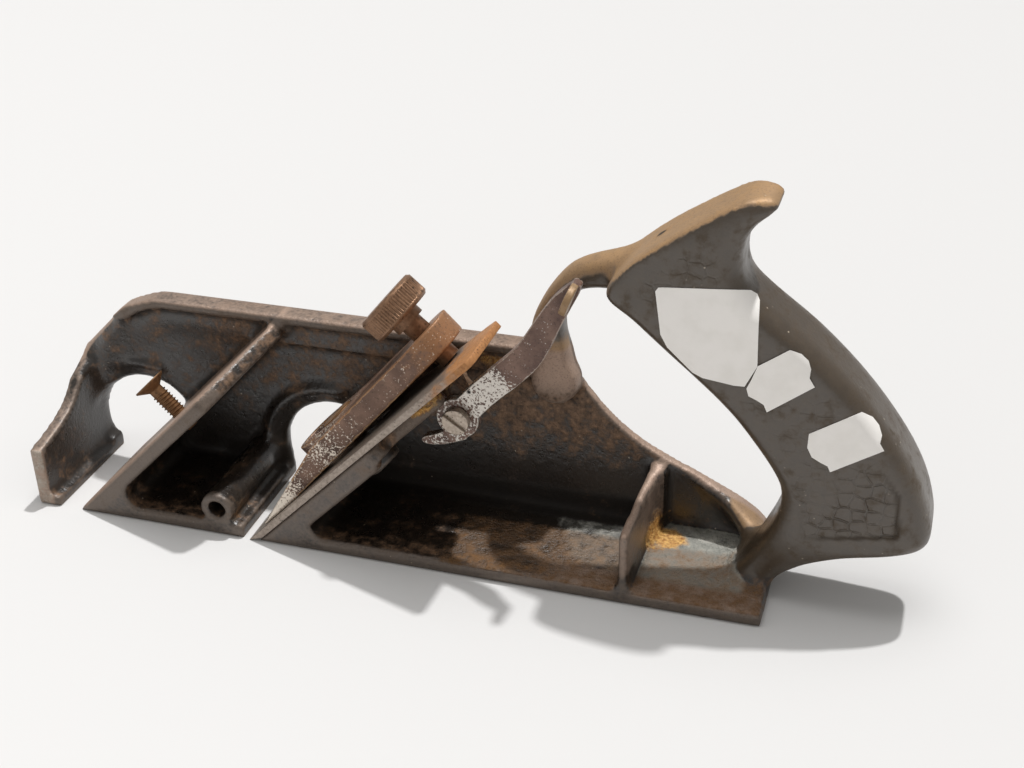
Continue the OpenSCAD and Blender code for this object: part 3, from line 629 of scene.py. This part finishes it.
def browning_of(iron):
    """Browned japanning, strongest high on the wall and behind the lever."""
    x, y, z = iron.x, iron.y, iron.z
    brown = 0.2 + (0.16 + 0.24 * step(-66.0, -56.0, x)) * step(24.0, 44.0, z)
    brown = brown + 0.45 * step(-10.0, 16.0, x) * step(16.0, 30.0, z) + 0.25 * step(76.0, 90.0, x)
    brown = brown + 0.35 * step(0.3, 0.8, iron.nz) * step(-11.0, -15.0, y) * step(7.0, 5.0, z)
    brown = brown - 0.2 * step(24.0, 16.0, z) * step(0.0, 12.0, y)
    return np.where(iron.handle > 0.5, 0.3, brown)


def rust_of(iron):
    """Rust in the corner behind the web, at the head of the main bed, on the wall above it and in
    the rear corners."""
    x, y, z = iron.x, iron.y, iron.z
    heap = bell(x, 78.0, 5.0) * bell(y, 8.4, 4.6) * bell(z, 5.0, 5.0) * (x > 72.5)
    streak = bell(x, 73.6, 1.6) * step(18.0, 6.0, z) * band(y, -6.0, 6.0, 12.0, 15.5)
    head = step(3.0, 0.5, np.abs(iron.above_main + 1.5)) * step(40.0, 48.0, z) * (x > 5.0) * (y < 17.5)
    stain = bell(x, 27.0, 7.0) * bell(z, 50.0, 5.0) * step(8.0, 10.0, y) * (y < 17.5)
    seam = step(0.12, 0.4, -iron.bulge) * step(60.0, 76.0, x)
    body = iron.handle < 0.5
    return np.maximum.reduce([1.5 * heap, 0.8 * streak, 0.6 * head * body, 0.55 * stain, 0.35 * seam * body])


def dust_of(iron):
    """Grey dust on the floor beside and behind the web, and on the end of the nose."""
    x, y = iron.x, iron.y
    beside = step(45.0, 53.0, x + 0.4 * y) * step(-12.0, -6.0, y + 0.3 * (x - 55.0))
    beside = beside * step(12.0, 10.0, y) * (x < 72.0)
    # the dust behind the web is laid at nearly full strength, partly as painted light on floor that the grip
    # shades
    behind = band(x, 71.0, 73.0, 100.0, 104.0) * step(-14.0, -9.0, y)
    return np.maximum(iron.floor * np.maximum(0.52 * beside, 0.95 * behind), 0.5 * iron.nose_end)


def sand_of(iron):
    """Golden sand and grime on the rear floor, and crumbs beside the tapped boss."""
    rear = iron.floor * step(8.0, 24.0, iron.x) * step(9.0, 3.0, iron.y)
    crumbs = bell(iron.x, -44.5, 3.2) * bell(iron.y, -13.0, 8.0) * bell(iron.z, 6.5, 4.5)
    return np.maximum(0.6 * rear, 0.62 * crumbs)


def skin_of(iron):
    """Reptile-skin panel of the grip, clearest at its low end, and the furrow round it there."""
    hit, far = inside(SKIN_PANEL, iron.x, iron.z)
    low = step(52.0, 34.0, iron.z) * step(112.0, 128.0, iron.x)
    sides = step(0.6, 0.85, np.abs(iron.ny)) * (iron.handle > 0.5) * hit
    return sides * step(0.0, 1.2, far) * (0.4 + 0.6 * low), sides * step(0.9, 0.3, np.abs(far - 0.7)) * low


def make_casting():
    """The one iron casting, softened, with its marks of use and its painted shade stored for the japanning.
    """
    piece = copy_of("body_casting", "casting")
    even_mesh(piece, CASTING_GRAIN)
    iron = survey(piece, soften_casting(piece))
    pale = polish_of(iron)
    skin, border = skin_of(iron)
    # foot of the wall, darkened as painted shade
    wall_foot_shade = step(12.0, 9.0, iron.z) * step(9.0, 11.5, iron.y) * band(iron.x, -66.0, -60.0, 66.0, 70.0)
    wall_foot_shade = wall_foot_shade * (iron.z > 3.0) * (iron.y < 17.5)
    marks = {
        # the floor strip and the web's faces turned right and to the open side are painted paler, partly as
        # bare iron and partly as painted light falling on them
        "pale": np.maximum.reduce([pale, 0.7 * iron.strip, 0.45 * iron.web]),
        "wear": wear_of(iron, pale) * (1.0 - iron.nick),
        "brown": browning_of(iron),
        "grip": step(0.3, 0.7, iron.handle),
        "rust": rust_of(iron),
        "dust": dust_of(iron),
        "sand": sand_of(iron),
        "skin": skin,
        # hollows, the foot of the wall, the furrow round the skin panel and the nick: darkened as painted
        # shade
        "hollow": np.maximum.reduce([step(0.08, 0.4, -iron.bulge), wall_foot_shade, 0.9 * border, iron.nick]),
    }
    for name, values in marks.items():
        keep(piece, name, values)
    paint(piece, japanned_iron())
    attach(piece, "body")
    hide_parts("body_casting")
    return piece


# Cap screws: countersunk slotted head on a shank with a real helical thread, in millimetres

HEAD_RADIUS = 5.1
HEAD_RIM = 0.5
HEAD_CONE = 2.2
# Length and width of the blade that cuts the slot, and twice the slot's depth
SLOT = (12.0, 1.2, 2.4)
CORE_RADIUS = 2.05
PITCH = 1.06
TIP_LENGTH = 0.6
TIP_RADIUS = 1.55
# Thread's profile: radius and half its height, at the root sunk in the shank and at the crest
THREAD_ROOT = (1.85, 0.42)
THREAD_CREST = (2.5, 0.07)


def screw_blank(name, length):
    """Head, shank and tip: a disc with its lower face extruded down and resized stage by stage."""
    bpy.ops.object.select_all(action="DESELECT")
    bpy.ops.mesh.primitive_cylinder_add(vertices=40, radius=HEAD_RADIUS * MM, depth=HEAD_RIM * MM,
                                        location=(0, 0, -0.5 * HEAD_RIM * MM))
    piece = bpy.context.object
    piece.name = name
    alone(piece)
    bpy.ops.object.transform_apply(location=True, rotation=False, scale=False)
    bpy.ops.object.mode_set(mode="EDIT")
    bpy.ops.mesh.select_mode(type="FACE")
    bpy.ops.mesh.select_all(action="DESELECT")
    bpy.ops.object.mode_set(mode="OBJECT")
    for face in piece.data.polygons:
        face.select = face.normal.z < -0.9
    shank = length - HEAD_RIM - HEAD_CONE
    reach = HEAD_RADIUS
    bpy.ops.object.mode_set(mode="EDIT")
    for drop, radius in ((HEAD_CONE, CORE_RADIUS), (shank, CORE_RADIUS), (TIP_LENGTH, TIP_RADIUS)):
        bpy.ops.mesh.extrude_region_move(TRANSFORM_OT_translate={"value": (0, 0, -drop * MM)})
        bpy.ops.transform.resize(value=(radius / reach, radius / reach, 1.0))
        reach = radius
    bpy.ops.object.mode_set(mode="OBJECT")
    return piece


def cut_slot(piece):
    """Cuts the screwdriver slot and takes the edges off."""
    bpy.ops.object.select_all(action="DESELECT")
    bpy.ops.mesh.primitive_cube_add(size=1.0, location=(0, 0, 0))
    blade = bpy.context.object
    blade.scale = [side * MM for side in SLOT]
    alone(blade)
    bpy.ops.object.transform_apply(location=True, rotation=True, scale=True)
    modify(piece, "BOOLEAN", object=blade, operation="DIFFERENCE", solver="EXACT")
    bpy.data.objects.remove(blade)
    modify(piece, "BEVEL", width=0.18 * MM, segments=2, limit_method="ANGLE", angle_limit=math.radians(32.0))


def thread_ridge(name, start, end):
    """Sharp profile swept down the shank, from start to end below the top of the head."""
    bpy.ops.object.select_all(action="DESELECT")
    bpy.ops.mesh.primitive_plane_add(size=1.0, location=(0, 0, 0))
    ridge = bpy.context.object
    ridge.name = name
    profile = [(radius, side * half) for radius, half in (THREAD_ROOT, THREAD_CREST) for side in (1, -1)]
    for vertex, (radius, height) in zip(ridge.data.vertices, profile):
        vertex.co = Vector((radius, 0.0, height - start)) * MM
    modify(ridge, "SCREW", axis="Z", angle=math.tau, screw_offset=-PITCH * MM, steps=28, render_steps=28,
           iterations=int((end - start) / PITCH), use_normal_calculate=True)
    on_all(ridge, (bpy.ops.mesh.remove_doubles, {"threshold": 0.001 * MM}),
           (bpy.ops.mesh.normals_make_consistent, {"inside": False}))
    return ridge


def make_cap_screw(node, name, toe, material, head_n, length, turn, thread):
    """A cap screw with the top of its head head_n above its bed, its slot turned so many degrees, and
    its thread between two distances below that top."""
    piece = screw_blank(name, length)
    cut_slot(piece)
    ridge = thread_ridge(name + "_thread", *thread)
    alone(piece)
    ridge.select_set(True)
    bpy.ops.object.join()
    lean = Matrix.Rotation(-math.radians(45.0), 4, "Y") @ Matrix.Rotation(math.radians(turn), 4, "Z")
    piece.matrix_world = Matrix.Translation(on_bed(toe, SCREW_UP, 0.0, head_n)) @ lean
    alone(piece)
    bpy.ops.object.transform_apply(location=True, rotation=True, scale=True)
    smooth_below(piece, 35.0)
    paint(piece, material)
    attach(piece, "body")
    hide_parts(node)


# Pieces that keep the solid's own form

def dress(node, name, body, material, width, segments=2):
    """A machined piece: the solid with its edges filed to width."""
    piece = copy_of(node, name)
    soften(piece, width, segments)
    paint(piece, material)
    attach(piece, body)
    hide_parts(node)


def make_plated(node, name, body, material, cover, grain):
    """A cast or forged piece in an even fine mesh, so that wear can follow its edges. cover gives
    the plating, rust and the painted shade of a drilled hole from the vertices' places, normals and wear."""
    piece = copy_of(node, name)
    even_mesh(piece, grain)
    modify(piece, "SMOOTH", factor=0.5, iterations=3)
    place, normal, edge = points_of(piece)
    wear = step(0.15, 0.5, bulge_of(place, normal, edge, 10) / grain)
    plate, rust, hole_shade = cover(place, normal, wear)
    for mark, values in (("hole_shade", hole_shade), ("wear", wear), ("plate", plate), ("rust", rust)):
        keep(piece, mark, values)
    paint(piece, material)
    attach(piece, body)
    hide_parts(node)


def cap_cover(place, normal, wear):
    """Plating left near the tip and halfway up, orange rust along the upper edges and end."""
    x, _, z = place.T
    u = ((x - MAIN_TOE) + z) * SLOPE
    upper = step(0.3, 0.8, (normal[:, 2] - normal[:, 0]) * SLOPE)
    edges = wear * (above_bed(x, z, MAIN_TOE) > 5.0) * step(14.0, 30.0, u)
    plate = 0.06 + 0.85 * step(30.0, 12.0, u) + 0.2 * step(15.0, 8.0, u) + 0.36 * bell(u, 37.0, 9.0)
    rust = 0.1 + 0.7 * step(66.0, 84.0, u) + 0.6 * edges + 0.15 * upper
    return plate, rust, np.zeros(len(x))


def lever_cover(place, normal, wear):
    """Plating nearly whole between hub and elbow, specks above, the tab rubbed to yellow metal."""
    x, y, z = place.T
    along = (x - LEVER_PIVOT[0]) * 0.64 + (z - LEVER_PIVOT[1]) * 0.77
    plate = 0.4 + 0.36 * band(along, 3.0, 7.0, 16.0, 21.0) - 0.42 * step(17.0, 25.0, along)
    plate = plate + 0.25 * wear * step(40.0, 30.0, along)
    rust = 0.95 * step(-7.0, -7.8, y) * step(30.0, 34.0, along)
    # painted shade: the small hole is darkened to near-black round its mouth on the open face
    hole_shade = step(0.75, 0.45, np.hypot(x - LEVER_HOLE[0], z - LEVER_HOLE[1])) * (normal[:, 1] < -0.5)
    return plate, rust, hole_shade


# Blank paper stickers on the open side of the grip: height above it, and outline in x and z

STICKERS = {
    "sticker_large": (0.12, [
        (75.6, 89.2), (76.3, 90.3), (77.4, 90.5), (98.6, 92.4), (100.2, 91.6), (100.9, 90.0), (101.5, 72.0),
        (98.7, 66.0), (96.0, 65.9), (88.2, 66.9), (85.6, 68.1), (79.0, 74.3), (77.2, 77.6)]),
    "sticker_upper": (0.3, [
        (101.6, 72.2), (109.0, 77.7), (111.8, 77.0), (113.6, 75.4), (114.4, 73.2), (114.3, 70.6),
        (115.7, 68.4), (104.6, 59.6), (103.7, 61.6), (101.9, 62.6), (99.8, 63.5), (99.2, 65.6),
        (100.2, 68.0)]),
    "sticker_lower": (0.14, [
        (115.3, 55.0), (127.4, 63.2), (130.0, 62.2), (131.7, 60.2), (132.7, 57.4), (132.5, 55.0),
        (133.7, 53.1), (121.3, 44.8), (120.6, 46.4), (118.9, 47.1), (116.5, 48.4), (115.2, 51.0)]),
}
STICKER_SPACING = 0.7
STICKER_RINGS = 12
PAPER_THICKNESS = 0.1


def make_sticker(name, outline, casting, material, lift):
    """The sheet is a disc of rings shaped to the outline on the plane of the grip's open side, and
    laid on the grip along the lines of sight."""
    eye = bpy.context.scene.camera.matrix_world.translation
    loop = []
    for (ax, az), (bx, bz) in zip(outline, outline[1:] + outline[:1]):
        count = max(1, round(math.hypot(bx - ax, bz - az) / STICKER_SPACING))
        loop += [(ax + (bx - ax) * k / count, az + (bz - az) * k / count) for k in range(count)]
    bpy.ops.object.select_all(action="DESELECT")
    bpy.ops.mesh.primitive_circle_add(vertices=len(loop), radius=1.0, fill_type="NOTHING")
    piece = bpy.context.object
    piece.name = name
    for vertex, (px, pz) in zip(piece.data.vertices, loop):
        vertex.co = Vector((px, GRIP_SIDE, pz)) * MM
    middle = sum((v.co for v in piece.data.vertices), Vector()) / len(loop)
    alone(piece)
    bpy.ops.object.mode_set(mode="EDIT")
    bpy.ops.mesh.select_all(action="SELECT")
    for ring in range(STICKER_RINGS - 1, 0, -1):
        bpy.ops.mesh.extrude_edges_move(MESH_OT_extrude_edges_indiv={},
                                        TRANSFORM_OT_translate={"value": (0, 0, 0)})
        bpy.ops.transform.resize(value=(ring / (ring + 1.0),) * 3, center_override=middle)
    bpy.ops.mesh.edge_face_add()
    bpy.ops.object.mode_set(mode="OBJECT")
    for vertex in piece.data.vertices:
        sight = (vertex.co - eye).normalized()
        found, spot, facing, _ = casting.ray_cast(eye, sight)
        if found:
            vertex.co = spot + (-sight * 0.6 + facing * 0.4) * lift * MM
    on_all(piece, (bpy.ops.mesh.normals_make_consistent, {"inside": False}))
    if sum(face.normal.y for face in piece.data.polygons) > 0:
        on_all(piece, (bpy.ops.mesh.flip_normals, {}))
    modify(piece, "SOLIDIFY", thickness=PAPER_THICKNESS * MM, offset=1.0)
    smooth_below(piece, 40.0)
    paint(piece, material)
    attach(piece, "body")


# Table and light, in metres: a sun from behind and above, a wide soft lamp overhead

TABLE_SIZE = 6.0
SUN_FROM = (0.3, 0.56, 2.0)
LAMP_AT = (-0.1, 0.1, 2.0)


def make_stage():
    """Table, even light all round, sun and lamp."""
    bpy.ops.object.select_all(action="DESELECT")
    bpy.ops.mesh.primitive_plane_add(size=TABLE_SIZE, location=(0, 0, -0.02 * MM))
    table = bpy.context.object
    table.name = "table"
    alone(table)
    bpy.ops.object.transform_apply(location=True, rotation=True, scale=True)
    paint(table, table_white())

    world = bpy.data.worlds.new("studio")
    world.use_nodes = True
    t = world.node_tree
    t.nodes.clear()
    fill = put(t, "ShaderNodeBackground", {"Color": ink("#f6f5f3"), "Strength": 0.44})
    put(t, "ShaderNodeOutputWorld", {"Surface": fill.outputs[0]})
    bpy.context.scene.world = world

    key = bpy.data.lights.new("key", "SUN")
    key.energy = 2.6
    key.angle = math.radians(2.2)
    top = bpy.data.lights.new("overhead", "AREA")
    top.shape = "DISK"
    top.size = 1.5
    top.energy = 14.0
    for data, where in ((key, SUN_FROM), (top, LAMP_AT)):
        lamp = bpy.data.objects.new(data.name, data)
        bpy.context.collection.objects.link(lamp)
        lamp.location = where
        lamp.rotation_euler = (-Vector(where)).to_track_quat("-Z", "Y").to_euler()


# Directions along which steel browns, and a span so far off that it browns in patches alone
UPHILL = (SLOPE, 0.0, SLOPE)
UPWARD = (0.0, 0.0, 1.0)
PATCHES_ALONE = (2000.0, 3000.0)


def build():
    """Makes every piece, the stage and the camera."""
    bpy.context.scene.view_settings.view_transform = "Standard"
    aim_camera()
    casting = make_casting()
    rusty = aged_steel("rusty_screw_steel", ("#5a3f2a", "#926e4b"), ("#5a3414", "#8a5a26"),
                       PATCHES_ALONE, UPWARD, rough=0.5, metallic=0.6, pit=1.2)
    make_cap_screw("front_cap_screw", "front_screw", FRONT_TOE, rusty,
                   head_n=12.6, length=17.6, turn=20.0, thread=(4.2, 16.6))
    make_cap_screw("main_cap_screw", "main_screw", MAIN_TOE, rusty,
                   head_n=11.15, length=19.15, turn=60.0, thread=(6.0, 18.0))
    tool = aged_steel("tool_steel", ("#6a5f56", "#b4a79b"), ("#8a5a38", "#c48f5a"),
                      (44.0, 70.0), UPHILL, rough=0.42, metallic=0.7, pit=0.9)
    dress("cutter", "cutting_iron", "cutter", tool, width=0.18)
    plated = worn_plating("worn_plated_iron", ("#563f34", "#856857"), plate="#dbd0c2", edge="#bb9770",
                          oxide="#946b4a", rough=0.5)
    make_plated("lever_cap", "cap", "lever_cap", plated, cap_cover, grain=0.42)
    knob = aged_steel("brown_knob_steel", ("#59402f", "#a27d60"), ("#4a3222", "#7a5836"),
                      PATCHES_ALONE, UPWARD, rough=0.45, metallic=0.6, pit=1.6)
    dress("cap_thumbscrew", "thumbscrew", "thumbscrew", knob, width=0.1, segments=1)
    nickel = worn_plating("speckled_nickel", ("#533c34", "#7d6356"), plate="#c6c0b8", edge="#a8978a",
                          oxide="#927656", rough=0.46)
    make_plated("adjusting_lever", "lever", "lever", nickel, lever_cover, grain=0.3)
    bright = aged_steel("dull_screw_steel", ("#74645a", "#d2c5b5"), ("#5a4330", "#7d6248"),
                        (0.0, 400.0), UPWARD, rough=0.42, metallic=0.7, pit=1.0)
    dress("lever_pivot_screw", "pivot_screw", "body", bright, width=0.4, segments=3)
    dress("spur", "nicking_spur", "spur", bright, width=0.15)
    dress("spur_screw", "spur_fixing", "body", bright, width=0.2)
    paper = label_paper()
    for name, (lift, outline) in STICKERS.items():
        make_sticker(name, outline, casting, paper, lift)
    make_stage()


build()
